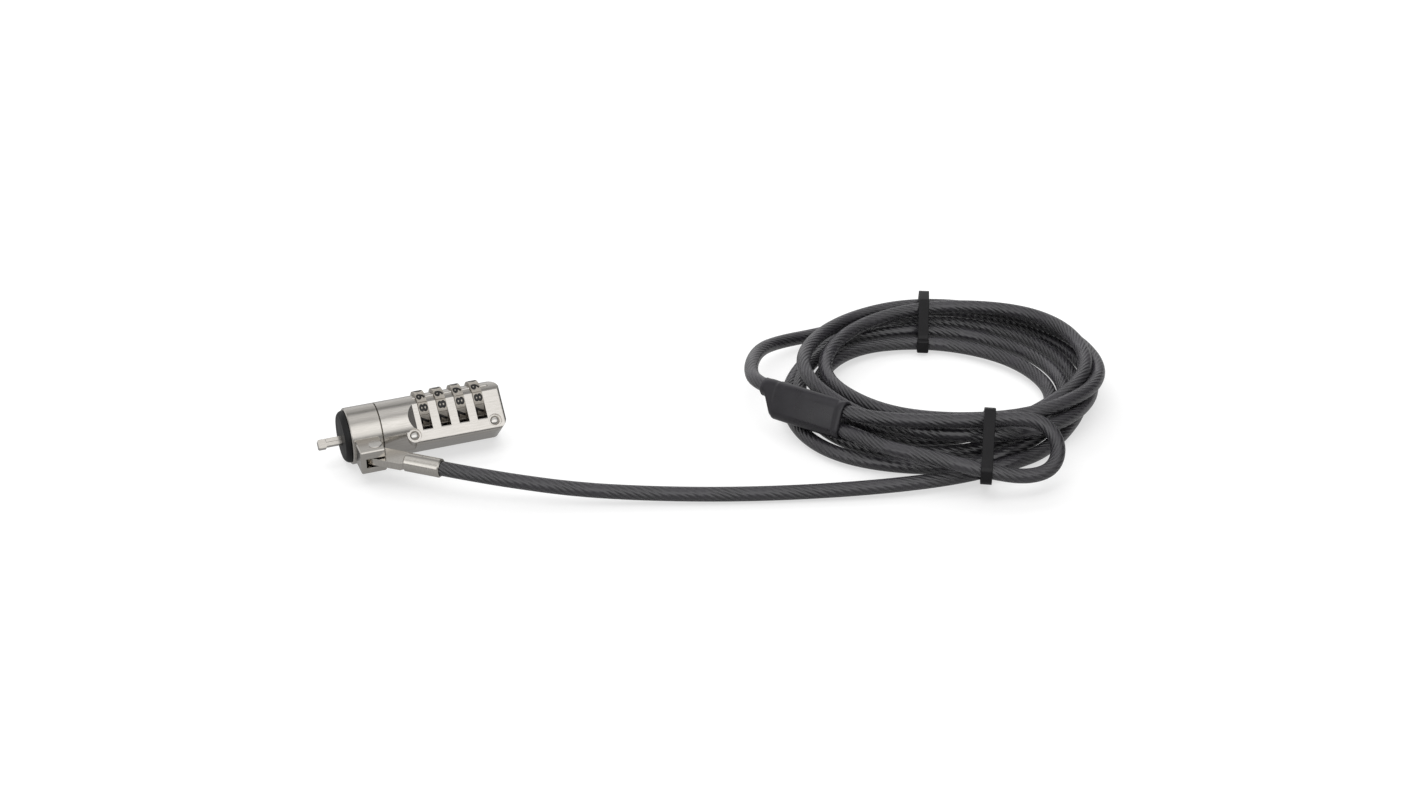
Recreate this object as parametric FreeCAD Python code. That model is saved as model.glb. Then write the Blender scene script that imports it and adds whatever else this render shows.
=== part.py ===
import FreeCAD, Part
import math
import os
from FreeCAD import Matrix, Placement, Vector

# A four-dial cable lock for laptops: a cast lock head on a swivelling collar, and a coated wire rope.
# Millimetres. The floor is z = 0, and the origin is below the middle of the lock head's box.
# The lock head's own coordinates: x along its axis from the joint between collar and head,
# y up the number plate and n square to it, before the head is rolled about its axis.

os.makedirs("parts", exist_ok=True)

# Where the lock head lies: its axis rests one body radius above the floor
joint_x = -9.8
axis_y = 3.85
roll = 46.0

# Lock body: a round neck that turns into a flat-faced block
body_radius = 8.8
body_length = 38.6
plate_start = 10.6
plate_height = 7.7
scoop_length = 2.2
corner_side = 8.6
corner_round = 1.4
plan_round = 4.0
top_round = 1.0
tail_round = 3.0
split_height = -2.2
cover_start = 7.0
cover_wall = 1.6
seam = 0.08
front_wall = 1.0
chamber_radius = 6.6
chamber_end = 7.65
bead_radius = 0.45
bead_side = 6.3
bead_inset = 0.9

# Number dials and what lies in them
dial_count = 4
dial_first = 13.875
dial_pitch = 5.8
dial_width = 3.0
dial_radius = 6.35
dial_y = 3.2
dial_n = 1.9
dial_gap = 0.25
slot_side_gap = 0.075
window_bottom = -4.45
window_floor = 3.0
digit_count = 10
digit_turn = -8.6
groove_depth = 0.22
groove_width = 0.5
ring_radius = 4.2
ring_recess_radius = 3.0
gate_thickness = 1.0

# Spindle, hook and button
running_gap = 0.05
slide_gap = 0.05
press_travel = 2.4
spindle_radius = 1.5
fin_reach = 2.6
fin_thickness = 0.9
fin_width = 1.2
fin_side_gap = 0.25
web_bore_gap = 0.3
bridge_front = 6.0
bridge_thickness = 1.6
bridge_radius = 6.3
bridge_low_rim = 0.9
bridge_high_rim = 1.2
bridge_side_rim = 1.0
bridge_side = 2.6
guide_radius = 1.0
guide_length = 1.1
button_radius = 3.0
button_thickness = 1.9
button_sink = 0.1
button_edge = 0.3
button_skin = 0.6
spring_wire = 0.35
spring_radius = 1.85
spring_turns = 3.0
spring_gap = 0.03
bar_width = 2.4
bar_height = 1.15
bar_side = 0.05
bar_centre = -0.95
bar_block_height = 1.2
hook_start = 16.5
hook_end = 19.0
hook_lip = 0.45
hook_edge = 0.25
hook_nose = 0.5

# Leaf that the dials click on, and the rivets that hold the back cover
leaf_thickness = 0.3
leaf_top = 4.4
leaf_gap = 0.3
leaf_overhang = 0.6
rivet_x = (9.5, 35.0)
rivet_y = -5.4
rivet_radius = 0.9
rivet_head_radius = 1.5
rivet_dome = 0.7
rivet_pocket_radius = 2.0
rivet_pocket_depth = 0.8
rivet_boss_radius = 1.9
rivet_pad_radius = 2.4
rivet_end = -4.6

# Collar with the cable lug, and the nose
collar_length = 9.65
collar_gap = 0.1
collar_edge = 0.3
core_radius = 6.0
core_bore = 4.7
core_flange_radius = 6.55
core_flange = 1.2
nose_thickness = 0.8
nose_radius = 7.4
nose_spigot = 1.5
nose_gap = 0.15
bumper_radius = 8.1
bumper_face_radius = 7.0
bumper_thickness = 1.7
bumper_rim = 0.35
bumper_shoulder = (0.6, 0.65)
bar_way_gap = 0.2
lug_left = -9.2
lug_length = 7.7
lug_reach = 16.5
lug_bottom = 4.2
lug_top = 11.7
lug_slot_bottom = 6.1
lug_slot_height = 3.1
lug_wall = 1.6
lug_edge = 0.35
pin_x = -3.8
pin_reach = 12.7
pin_radius = 1.5
pin_head_radius = 2.1
pin_head_height = 0.25
pin_head_edge = 0.12
pin_seat = 0.3
slot_back_gap = 0.3

# Cable fitting: a flat tongue on the clevis pin, with a ferrule behind it
fitting_angle = -41.0
tongue_thickness = 2.3
tongue_radius = 3.5
tongue_length = 10.8
tongue_slope = 1.0
tongue_root = 0.6
ferrule_radius = 2.9
ferrule_end = 22.0
ferrule_edge = 0.4
ferrule_recess = 1.0
ferrule_recess_radius = 2.45
crimp_dimple_radius = 1.4
crimp_dimple_depth = 0.2

# Cable: a wire rope in a smoke-coloured plastic coat
cable_diameter = 4.5
free_run = 8.0
sample_step = 1.0
neighbour_run = 18.0

# Sleeve over the crimp that closes the end loop
sleeve_centre = Vector(117.5, -37.45, 11.4)
sleeve_heading = -59.6
sleeve_pitch = 3.2
sleeve_lean = 23.8
sleeve_length = 26.0
sleeve_height = 12.2
sleeve_thickness = 6.4
sleeve_round = 2.6
sleeve_wall = 0.85
sleeve_mouth = 1.5
sleeve_edge = 0.5
sleeve_run = 5.0
entry_run = 9.0
neck_length = 5.5
neck_radius = 2.95
neck_collar = 1.6
neck_round = 2.36
strand_offset = 2.9
cable_gap = 0.1

# Cable ties that hold the coil
tie_width = 2.5
tie_thickness = 0.7
tie_round = 2.0
tie_head = (3.6, 2.7, 4.3)
tie_head_edge = 0.4


def fused(shapes):
    """One solid from several that overlap or touch."""
    body = shapes[0]
    for shape in shapes[1:]:
        body = body.fuse(shape)
    return body.removeSplitter()


def cut_all(body, tools):
    """The body with every tool taken away."""
    for tool in tools:
        body = body.cut(tool)
    return body


def rod(x0, x1, radius, y=0.0, n=0.0):
    """A round bar along the lock's axis."""
    return Part.makeCylinder(radius, x1 - x0, Vector(x0, y, n), Vector(1, 0, 0))


def block(x0, x1, y0, y1, n0, n1):
    """A square-edged block from its two corners."""
    return Part.makeBox(x1 - x0, y1 - y0, n1 - n0, Vector(x0, y0, n0))


def prism(points, direction):
    """A closed outline of straight edges, pulled along a direction."""
    wire = Part.makePolygon(points + [points[0]])
    return Part.Face(wire).extrude(direction)


def rounded_wire(points, radii):
    """A closed flat outline whose corners are tangent arcs; a radius of 0 keeps a corner sharp."""
    count = len(points)
    ends = []
    for i in range(count):
        before = points[i - 1].sub(points[i]).normalize()
        after = points[(i + 1) % count].sub(points[i]).normalize()
        inner = math.acos(max(-1.0, min(1.0, before.dot(after))))
        reach = radii[i] / math.tan(inner / 2)
        start = points[i].add(Vector(before).multiply(reach))
        end = points[i].add(Vector(after).multiply(reach))
        bisector = before.add(after).normalize()
        middle = points[i].add(bisector.multiply(radii[i] / math.sin(inner / 2) - radii[i]))
        ends.append((start, middle, end))
    edges = []
    for i in range(count):
        start, middle, end = ends[i]
        if radii[i] > 0:
            edges.append(Part.Arc(start, middle, end).toShape())
        following = ends[(i + 1) % count][0]
        if end.distanceToPoint(following) > 1e-6:
            edges.append(Part.LineSegment(end, following).toShape())
    return Part.Wire(edges)


def rounded_prism(points, radii, direction):
    """A rounded outline pulled along a direction."""
    return Part.Face(rounded_wire(points, radii)).extrude(direction)


def in_head(shape):
    """Rolls a shape made in the lock head's coordinates and lays it at the head's place."""
    placed = shape.copy()
    placed.rotate(Vector(0, 0, 0), Vector(1, 0, 0), roll)
    placed.translate(Vector(joint_x, axis_y, body_radius))
    return placed


def in_collar(shape):
    """Lays a shape made level, from the joint and the lock's axis, at its place."""
    placed = shape.copy()
    placed.translate(Vector(joint_x, axis_y, 0))
    return placed


def export(shape, name):
    """Writes one sub-part."""
    shape.exportStep("parts/" + name + ".step")
    print(name, "solids", len(shape.Solids), "volume", round(shape.Volume, 2), "valid", shape.isValid())


def arc_between(start, heading, end):
    """The arc that leaves a point along a heading and reaches another point."""
    chord = end.sub(start)
    unit = Vector(chord).normalize()
    side = heading.sub(Vector(unit).multiply(heading.dot(unit)))
    bend = math.acos(max(-1.0, min(1.0, heading.dot(unit))))
    rise = chord.Length / 2 * math.tan(bend / 2)
    middle = start.add(chord.multiply(0.5)).add(side.normalize().multiply(rise))
    return Part.Arc(start, middle, end).toShape()


def biarc(start, heading, end, end_heading):
    """Two tangent arcs between two points with given headings."""
    span = end.sub(start)
    both = heading.add(end_heading)
    product = span.dot(both)
    spread = 2 * (1 - heading.dot(end_heading))
    reach = (math.sqrt(product ** 2 + spread * span.dot(span)) - product) / spread
    bend = heading.sub(end_heading).multiply(reach)
    joint = start.add(end).add(bend).multiply(0.5)
    second_start = Vector(end_heading).multiply(-1)
    first = arc_between(start, heading, joint)
    second = arc_between(end, second_start, joint)
    return [first, second]


def tube(edges, diameter):
    """A round tube along a path."""
    start = edges[0].valueAt(edges[0].FirstParameter)
    heading = edges[0].tangentAt(edges[0].FirstParameter)
    profile = Part.Wire(Part.makeCircle(diameter / 2, start, heading))
    return Part.Wire(edges).makePipeShell([profile], True, False)


def heading_of(point, turn, first, last):
    """The direction of a winding's centre line."""
    step = 0.001
    return point(min(last, turn + step)).sub(point(max(first, turn - step))).normalize()


def turns_of(point, first, last):
    """The centre line of a winding, as a pair of tangent arcs for each quarter turn."""
    edges = []
    for k in range(int(round((last - first) * 4))):
        turn = first + k / 4.0
        following = turn + 0.25
        edges += biarc(
            point(turn),
            heading_of(point, turn, first, last),
            point(following),
            heading_of(point, following, first, last),
        )
    return edges


dial_centres = [dial_first + dial_pitch * i for i in range(dial_count)]
last_dial = dial_centres[-1]
slot_half = dial_width / 2 + slot_side_gap
pocket_radius = dial_radius + dial_gap
fin_offset = gate_thickness / 2 + fin_side_gap + fin_thickness / 2
web_bore_radius = fin_reach + web_bore_gap
button_bore_radius = button_radius + running_gap
button_end = body_length - button_sink
button_start = button_end - button_thickness
button_bore_start = button_start - press_travel - fin_side_gap
outside = 2 * body_radius

# Outer form of the lock head, before it is split and hollowed
round_part = rod(0, body_length, body_radius)
corner_part = rounded_prism(
    [
        Vector(rivet_x[0], 0, 0),
        Vector(rivet_x[0], -corner_side, 0),
        Vector(rivet_x[0], -corner_side, plate_height),
        Vector(rivet_x[0], 0, plate_height),
    ],
    [0, 0, corner_round, 0],
    Vector(body_length - rivet_x[0], 0, 0),
)
pad_part = Part.makeCylinder(rivet_pad_radius, plate_height, Vector(rivet_x[0], rivet_y, 0), Vector(0, 0, 1))
head_form = fused([round_part, corner_part, pad_part])
scoop_rise = body_radius - plate_height
scoop_cut = prism(
    [
        Vector(plate_start, -outside, plate_height),
        Vector(body_length + 1, -outside, plate_height),
        Vector(body_length + 1, -outside, outside),
        Vector(plate_start - scoop_length * (outside - plate_height) / scoop_rise, -outside, outside),
    ],
    Vector(0, 2 * outside, 0),
)
head_form = head_form.cut(scoop_cut)
plan_form = rounded_prism(
    [
        Vector(-1, -corner_side, -outside),
        Vector(body_length, -corner_side, -outside),
        Vector(body_length, body_radius, -outside),
        Vector(-1, body_radius, -outside),
    ],
    [0, plan_round, plan_round, 0],
    Vector(0, 0, 2 * outside),
)
neck_form = rod(-1, rivet_x[0] - rivet_pad_radius, 2 * body_radius)
side_form = rounded_prism(
    [
        Vector(-1, -outside, -body_radius),
        Vector(body_length, -outside, -body_radius),
        Vector(body_length, -outside, outside),
        Vector(-1, -outside, outside),
    ],
    [0, tail_round, 0, 0],
    Vector(0, 2 * outside, 0),
)
plate_edge = rounded_prism(
    [
        Vector(-1, -outside, -outside),
        Vector(body_length, -outside, -outside),
        Vector(body_length, -outside, plate_height),
        Vector(plate_start, -outside, plate_height),
        Vector(plate_start, -outside, outside),
        Vector(-1, -outside, outside),
    ],
    [0, 0, top_round, 0, 0, 0],
    Vector(0, 2 * outside, 0),
)
head_form = head_form.common(fused([plan_form, neck_form])).common(side_form).common(plate_edge)
bead_n = math.sqrt(body_radius ** 2 - bead_side ** 2)
bead_start = plate_start + bead_inset
bead_end = body_length - plan_round + bead_radius
bead = fused(
    [
        rod(bead_start, bead_end, bead_radius, bead_side, bead_n),
        Part.makeSphere(bead_radius, Vector(bead_start, bead_side, bead_n)),
        Part.makeSphere(bead_radius, Vector(bead_end, bead_side, bead_n)),
    ]
)
head_form = fused([head_form, bead])

# What the dials, the rivets and the spindle take out of the head
dial_pockets = []
for centre in dial_centres:
    low_x = centre - slot_half
    high_x = centre + slot_half
    dial_pockets.append(rod(low_x, high_x, pocket_radius, dial_y, dial_n))
    dial_pockets.append(block(low_x, high_x, window_bottom, outside, window_floor, outside))
    dial_pockets.append(block(low_x, high_x, dial_y - pocket_radius, outside, split_height - 1, dial_n))
leaf_face = dial_y - dial_radius - leaf_gap
leaf_start = dial_centres[0] - slot_half - leaf_overhang
leaf_end = last_dial + slot_half + leaf_overhang
leaf_channel = block(
    leaf_start - slide_gap,
    leaf_end + slide_gap,
    leaf_face - leaf_thickness - slide_gap,
    leaf_face + slide_gap,
    split_height - 1,
    leaf_top + slide_gap,
)
web_bore = rod(leaf_start, button_bore_start, web_bore_radius, dial_y, dial_n)
spindle_bore = rod(chamber_end, leaf_start, spindle_radius + running_gap, dial_y, dial_n)
button_bore = rod(button_bore_start, body_length + 1, button_bore_radius, dial_y, dial_n)
chamber = rod(front_wall, chamber_end, chamber_radius)
core_hole = rod(-1, front_wall, core_radius)
rivet_holes = []
rivet_pockets = []
for x in rivet_x:
    foot = Vector(x, rivet_y, -outside)
    rivet_holes.append(Part.makeCylinder(rivet_radius, 2 * outside, foot, Vector(0, 0, 1)))
    seat = Vector(x, rivet_y, plate_height - rivet_pocket_depth)
    rivet_pockets.append(Part.makeCylinder(rivet_pocket_radius, outside, seat, Vector(0, 0, 1)))

# Lock body: neck and number plate, cast in one piece and open below the split
below_split = block(cover_start, body_length + 1, -outside, outside, -outside, split_height)
lock_body = cut_all(
    head_form,
    [below_split, core_hole, chamber, spindle_bore, web_bore, button_bore, leaf_channel]
    + dial_pockets
    + rivet_holes
    + rivet_pockets,
)
export(in_head(lock_body), "lock_body")

# Back cover: closes the body below the split, with a boss for each rivet
cover_space = block(
    cover_start + seam, body_length + 1, -outside, outside, -outside, split_height - seam
)
cover_cavity = rod(cover_start - 1, body_length - cover_wall, body_radius - cover_wall)
cover_shell = head_form.common(cover_space).cut(cover_cavity)
boss_space = rod(cover_start + seam, body_length - seam, body_radius - cover_wall / 2)
bosses = []
for x in rivet_x:
    foot = Vector(x, rivet_y, -outside)
    boss = Part.makeCylinder(rivet_boss_radius, outside + split_height - seam, foot, Vector(0, 0, 1))
    bosses.append(boss.common(boss_space))
back_cover = cut_all(fused([cover_shell] + bosses), dial_pockets[0::3])
stem_seats = []
for x in rivet_x:
    foot = Vector(x, rivet_y, rivet_end)
    stem_seats.append(Part.makeCylinder(rivet_radius, outside, foot, Vector(0, 0, 1)))
back_cover = cut_all(back_cover, stem_seats)
export(in_head(back_cover), "back_cover")

# Rivets: domed heads sunk in round pockets of the plate
rivets = []
for x in rivet_x:
    seat_n = plate_height - rivet_pocket_depth
    stem = Part.makeCylinder(rivet_radius, seat_n - rivet_end, Vector(x, rivet_y, rivet_end), Vector(0, 0, 1))
    sphere_radius = (rivet_head_radius ** 2 + rivet_dome ** 2) / (2 * rivet_dome)
    sphere_n = seat_n + rivet_dome - sphere_radius
    dome = Part.makeSphere(sphere_radius, Vector(x, rivet_y, sphere_n))
    keep = Part.makeCylinder(rivet_head_radius, rivet_dome + 1, Vector(x, rivet_y, seat_n), Vector(0, 0, 1))
    rivets.append(fused([stem, dome.common(keep)]))
export(in_head(Part.makeCompound(rivets)), "cover_rivets")

# Number dials, each with ten grooves between its digits, and the gate rings inside them
for index, centre in enumerate(dial_centres):
    low_x = centre - dial_width / 2
    high_x = centre + dial_width / 2
    dial = rod(low_x, high_x, dial_radius, dial_y, dial_n).cut(rod(low_x, high_x, ring_radius, dial_y, dial_n))
    for k in range(digit_count):
        groove = prism(
            [
                Vector(low_x - 1, -groove_width / 2, dial_radius + groove_depth),
                Vector(low_x - 1, 0, dial_radius - groove_depth),
                Vector(low_x - 1, groove_width / 2, dial_radius + groove_depth),
            ],
            Vector(dial_width + 2, 0, 0),
        )
        turn = digit_turn + (k + 0.5) * 360.0 / digit_count
        groove.rotate(Vector(0, 0, 0), Vector(1, 0, 0), -turn)
        groove.translate(Vector(0, dial_y, dial_n))
        dial = dial.cut(groove)
    export(in_head(dial), "number_dial_%d" % (index + 1))
    ring = rod(low_x, high_x, ring_radius, dial_y, dial_n)
    gate_low = centre - gate_thickness / 2
    gate_high = centre + gate_thickness / 2
    notch_half = fin_width / 2 + slide_gap * 3
    notch_deep = fin_reach + slide_gap * 3
    ring = cut_all(
        ring,
        [
            rod(low_x, gate_low, ring_recess_radius, dial_y, dial_n),
            rod(gate_high, high_x, ring_recess_radius, dial_y, dial_n),
            rod(gate_low, gate_high, spindle_radius + running_gap, dial_y, dial_n),
            block(low_x, high_x, dial_y - notch_half, dial_y + notch_half, dial_n - notch_deep, dial_n),
        ],
    )
    export(in_head(ring), "gate_ring_%d" % (index + 1))

# Spindle: one fin waits beside each gate ring and passes its notch only when the number is set
bridge_end = bridge_front + bridge_thickness
spindle_parts = [
    rod(bridge_front, button_end - button_skin, spindle_radius, dial_y, dial_n),
    rod(bridge_front - guide_length, bridge_front, guide_radius, dial_y, dial_n),
]
for centre in dial_centres:
    fin_x = centre + fin_offset
    spindle_parts.append(
        block(
            fin_x - fin_thickness / 2,
            fin_x + fin_thickness / 2,
            dial_y - fin_width / 2,
            dial_y + fin_width / 2,
            dial_n - fin_reach,
            dial_n,
        )
    )
export(in_head(fused(spindle_parts)), "code_spindle")

# Release button on the spindle's far end
button = rod(button_start, button_end, button_radius, dial_y, dial_n)
button = button.cut(rod(button_start - 1, button_end - button_skin, spindle_radius, dial_y, dial_n))
button = button.makeFillet(button_edge, [e for e in button.Edges if abs(e.BoundBox.XMin - button_end) < 1e-6])
export(in_head(button), "release_button")

# Bridge from the spindle to the hook, in the neck's chamber
hook_low = bar_centre - bar_side / 2 - bar_height
hook_high = bar_centre - bar_side / 2
bridge_plate = rod(bridge_front, bridge_end, bridge_radius)
bridge_plate = bridge_plate.common(
    block(
        bridge_front,
        bridge_end,
        hook_low - bridge_low_rim,
        dial_y + spindle_radius + bridge_high_rim,
        -bridge_side,
        dial_n + spindle_radius + bridge_side_rim,
    )
)
shank_slot = block(bridge_front, bridge_end, hook_low, hook_high, -bar_width / 2, bar_width / 2)
bridge_plate = cut_all(
    bridge_plate, [rod(bridge_front, bridge_end, spindle_radius, dial_y, dial_n), shank_slot]
)
export(in_head(bridge_plate), "hook_bridge")

# Locking hook: a flat shank with a head that drops behind the slot's wall
shank = block(-hook_start, bridge_end, hook_low, hook_high, -bar_width / 2, bar_width / 2)
block_high = bar_centre + bar_side / 2 + bar_block_height
head_points = [
    Vector(-hook_end, hook_low - hook_lip, -bar_width / 2),
    Vector(-hook_start, hook_low - hook_lip, -bar_width / 2),
    Vector(-hook_start, block_high, -bar_width / 2),
    Vector(-hook_end, block_high, -bar_width / 2),
]
hook_head = rounded_prism(head_points, [hook_nose, hook_edge, hook_edge, hook_nose], Vector(0, 0, bar_width))
export(in_head(fused([shank, hook_head])), "locking_hook")

# Nose: a steel disc in the core tube, the bar that fills the slot beside the hook, and a rubber pad
nose_front = -collar_gap - collar_length - nose_gap - nose_thickness
nose_back = nose_front + nose_thickness
blocking_bar = block(
    -hook_start + slide_gap,
    nose_back + nose_spigot,
    bar_centre + bar_side / 2,
    block_high,
    -bar_width / 2,
    bar_width / 2,
)
export(in_head(blocking_bar), "blocking_bar")
hook_way = block(
    -outside,
    chamber_end,
    hook_low - slide_gap,
    hook_high + slide_gap / 2,
    -bar_width / 2 - slide_gap,
    bar_width / 2 + slide_gap,
)
nose_plate = fused(
    [rod(nose_front, nose_back, nose_radius), rod(nose_back, nose_back + nose_spigot, core_bore)]
)
nose_plate = cut_all(nose_plate, [hook_way, blocking_bar])
export(in_head(nose_plate), "nose_plate")
pad_back = nose_back
pad_front = pad_back - bumper_thickness
pad_shoulder = pad_back - bumper_rim - bumper_shoulder[0] * (bumper_thickness - bumper_rim)
pad_slope_radius = bumper_face_radius + bumper_shoulder[1] * (bumper_radius - bumper_face_radius)
pad_wire = [
    Part.LineSegment(Vector(pad_back, 0, 0), Vector(pad_back, 0, bumper_radius)),
    Part.LineSegment(Vector(pad_back, 0, bumper_radius), Vector(pad_back - bumper_rim, 0, bumper_radius)),
    Part.Arc(
        Vector(pad_back - bumper_rim, 0, bumper_radius),
        Vector(pad_shoulder, 0, pad_slope_radius),
        Vector(pad_front, 0, bumper_face_radius),
    ),
    Part.LineSegment(Vector(pad_front, 0, bumper_face_radius), Vector(pad_front, 0, 0)),
    Part.LineSegment(Vector(pad_front, 0, 0), Vector(pad_back, 0, 0)),
]
pad_outline = Part.Face(Part.Wire([line.toShape() for line in pad_wire]))
bumper = pad_outline.revolve(Vector(0, 0, 0), Vector(1, 0, 0), 360)
bar_way = block(
    -outside,
    0,
    hook_low - bar_way_gap,
    block_high + bar_way_gap,
    -bar_width / 2 - bar_way_gap,
    bar_width / 2 + bar_way_gap,
)
bumper = cut_all(bumper, [rod(nose_front, pad_back + 1, nose_radius), bar_way])
export(in_head(bumper), "rubber_bumper")

# Core tube: fixed in the neck, it carries the collar and guides the hook
core_tube = fused(
    [
        rod(nose_back, front_wall, core_radius),
        rod(front_wall, front_wall + core_flange, core_flange_radius),
    ]
)
core_tube = cut_all(core_tube, [rod(nose_back, front_wall, core_bore), hook_way])
export(in_head(core_tube), "core_tube")

# Return spring between the core tube and the bridge
spring_start = front_wall + core_flange + spring_wire / 2 + spring_gap
spring_run = bridge_front - front_wall - core_flange - spring_wire - 2 * spring_gap


def spring_point(turn):
    """The spring's centre line."""
    angle = math.radians(360 * turn)
    return Vector(
        spring_start + spring_run * turn / spring_turns,
        dial_y + spring_radius * math.cos(angle),
        dial_n + spring_radius * math.sin(angle),
    )


spring_edges = turns_of(spring_point, 0.0, spring_turns)
export(in_head(tube(spring_edges, spring_wire)), "return_spring")

# Leaf spring that clicks in the dials' grooves, seen at the bottom of each window
leaf = block(leaf_start, leaf_end, leaf_face - leaf_thickness, leaf_face, split_height, leaf_top)
export(in_head(leaf), "dial_leaf_spring")

# Swivel collar with its lug, level with the floor
collar_back = -collar_gap
collar_front = collar_back - collar_length
collar_ring = rod(collar_front, collar_back, body_radius)
rims = [e for e in collar_ring.Edges if e.BoundBox.XLength < 1e-6]
collar_ring = collar_ring.makeChamfer(collar_edge, rims)
collar_ring.translate(Vector(0, 0, body_radius))
lug_right = lug_left + lug_length
lug = block(lug_left, lug_right, -lug_reach, 0, lug_bottom, lug_top)
lug_rims = [e for e in lug.Edges if abs(e.BoundBox.YMin + lug_reach) < 1e-6]
lug_rims += [e for e in lug.Edges if e.BoundBox.ZMin > lug_top - 1e-6 and e.BoundBox.XLength < 1e-6]
lug_rims += [e for e in lug.Edges if e.BoundBox.ZMax < lug_bottom + 1e-6 and e.BoundBox.XLength < 1e-6]
unique_rims = []
for edge in lug_rims:
    if not any(edge.isSame(other) for other in unique_rims):
        unique_rims.append(edge)
lug = lug.makeChamfer(lug_edge, unique_rims)
collar_bore = rod(collar_front - 1, collar_back + 1, core_radius + running_gap)
collar_bore.translate(Vector(0, 0, body_radius))
slot_back = pin_reach - tongue_radius - slot_back_gap
lug_slot = block(
    lug_left + lug_wall,
    lug_right + 1,
    -lug_reach - 1,
    -slot_back,
    lug_slot_bottom,
    lug_slot_bottom + lug_slot_height,
)
pin_foot = Vector(pin_x, -pin_reach, lug_bottom + pin_seat)
pin_hole = Part.makeCylinder(pin_radius, lug_top, pin_foot, Vector(0, 0, 1))
collar = cut_all(fused([collar_ring, lug]), [collar_bore, lug_slot, pin_hole])
export(in_collar(collar), "swivel_collar")

# Clevis pin with a plain head, pressed in the lug
pin = fused(
    [
        Part.makeCylinder(pin_radius, lug_top - pin_foot.z, pin_foot, Vector(0, 0, 1)),
        Part.makeCylinder(
            pin_head_radius, pin_head_height, Vector(pin_x, -pin_reach, lug_top), Vector(0, 0, 1)
        ),
    ]
)
pin_rim = [e for e in pin.Edges if e.BoundBox.ZMin > lug_top + pin_head_height - 1e-6]
pin = pin.makeChamfer(pin_head_edge, pin_rim)
export(in_collar(pin), "clevis_pin")

# Cable fitting, made from the pin along +X and then turned about it
fitting_z = lug_slot_bottom + lug_slot_height / 2
tongue_low = fitting_z - tongue_thickness / 2
tongue = fused(
    [
        Part.makeCylinder(tongue_radius, tongue_thickness, Vector(0, 0, tongue_low), Vector(0, 0, 1)),
        Part.makeBox(
            tongue_length, 2 * tongue_radius, tongue_thickness, Vector(0, -tongue_radius, tongue_low)
        ),
    ]
)
tongue_tips = [
    e for e in tongue.Edges if e.BoundBox.XMin > tongue_length - 1e-6 and e.BoundBox.ZLength > 1e-6
]
tongue = tongue.makeChamfer(tongue_slope, tongue_tips)
ferrule = Part.makeCylinder(
    ferrule_radius,
    ferrule_end - tongue_length + tongue_root,
    Vector(tongue_length - tongue_root, 0, fitting_z),
    Vector(1, 0, 0),
)
ferrule = ferrule.makeChamfer(ferrule_edge, [e for e in ferrule.Edges if e.BoundBox.XLength < 1e-6])
dimple_x = (tongue_length + ferrule_end) / 2
dimple_z = fitting_z + ferrule_radius + crimp_dimple_radius - crimp_dimple_depth
dimple = Part.makeSphere(crimp_dimple_radius, Vector(dimple_x, 0, dimple_z))
ferrule_mouth = Part.makeCylinder(
    ferrule_recess_radius,
    ferrule_recess + 1,
    Vector(ferrule_end - ferrule_recess, 0, fitting_z),
    Vector(1, 0, 0),
)
fitting_hole = Part.makeCylinder(pin_radius + running_gap, lug_top, Vector(0, 0, 0), Vector(0, 0, 1))
fitting = cut_all(fused([tongue, ferrule]), [fitting_hole, dimple, ferrule_mouth])
fitting.rotate(Vector(0, 0, 0), Vector(0, 0, 1), fitting_angle)
fitting.translate(Vector(joint_x + pin_x, axis_y - pin_reach, 0))
export(fitting, "cable_fitting")

# Route of the cable
fitting_heading = Vector(math.cos(math.radians(fitting_angle)), math.sin(math.radians(fitting_angle)), 0)
pin_place = Vector(joint_x + pin_x, axis_y - pin_reach, fitting_z)


def along_fitting(distance):
    """A point on the ferrule's axis, at a distance from the clevis pin."""
    return pin_place.add(Vector(fitting_heading).multiply(distance))


def cord_edges(points):
    """Straight runs joined by tangent arcs, each as large as its two runs allow."""
    edges = []
    radii = []
    last = points[0]
    for before, corner, after in zip(points, points[1:], points[2:]):
        back = before.sub(corner)
        ahead = after.sub(corner)
        reach = 0.45 * min(back.Length, ahead.Length)
        turn = math.pi - back.getAngle(ahead)
        back.normalize()
        ahead.normalize()
        start = corner.add(Vector(back).multiply(reach))
        end = corner.add(Vector(ahead).multiply(reach))
        radii.append(reach / math.tan(turn / 2))
        edges.append(Part.LineSegment(last, start).toShape())
        edges.append(arc_between(start, Vector(back).multiply(-1), end))
        last = end
    edges.append(Part.LineSegment(last, points[-1]).toShape())
    return edges, radii


def export_cord(points, name):
    """One free stretch of the cable, with its radii and its volume against section times length."""
    edges, radii = cord_edges(points)
    shape = tube(edges, cable_diameter)
    length = sum(edge.Length for edge in edges)
    section = math.pi * cable_diameter ** 2 / 4
    print(name, "length", round(length, 1), "radii", [round(r, 1) for r in radii])
    print(name, "volume over section times length", round(shape.Volume / (section * length), 4))
    export(shape, name)
    return length


heading_angle = math.radians(sleeve_heading)
pitch_angle = math.radians(sleeve_pitch)
sleeve_along = Vector(
    math.cos(heading_angle) * math.cos(pitch_angle),
    math.sin(heading_angle) * math.cos(pitch_angle),
    math.sin(pitch_angle),
)
level_side = Vector(-math.sin(heading_angle), math.cos(heading_angle), 0)
upright = level_side.cross(sleeve_along).multiply(-1)
lean_angle = math.radians(sleeve_lean)
upright_share = Vector(upright).multiply(math.cos(lean_angle))
sleeve_up = upright_share.add(Vector(level_side).multiply(math.sin(lean_angle)))
sleeve_face = sleeve_along.cross(sleeve_up)


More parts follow.
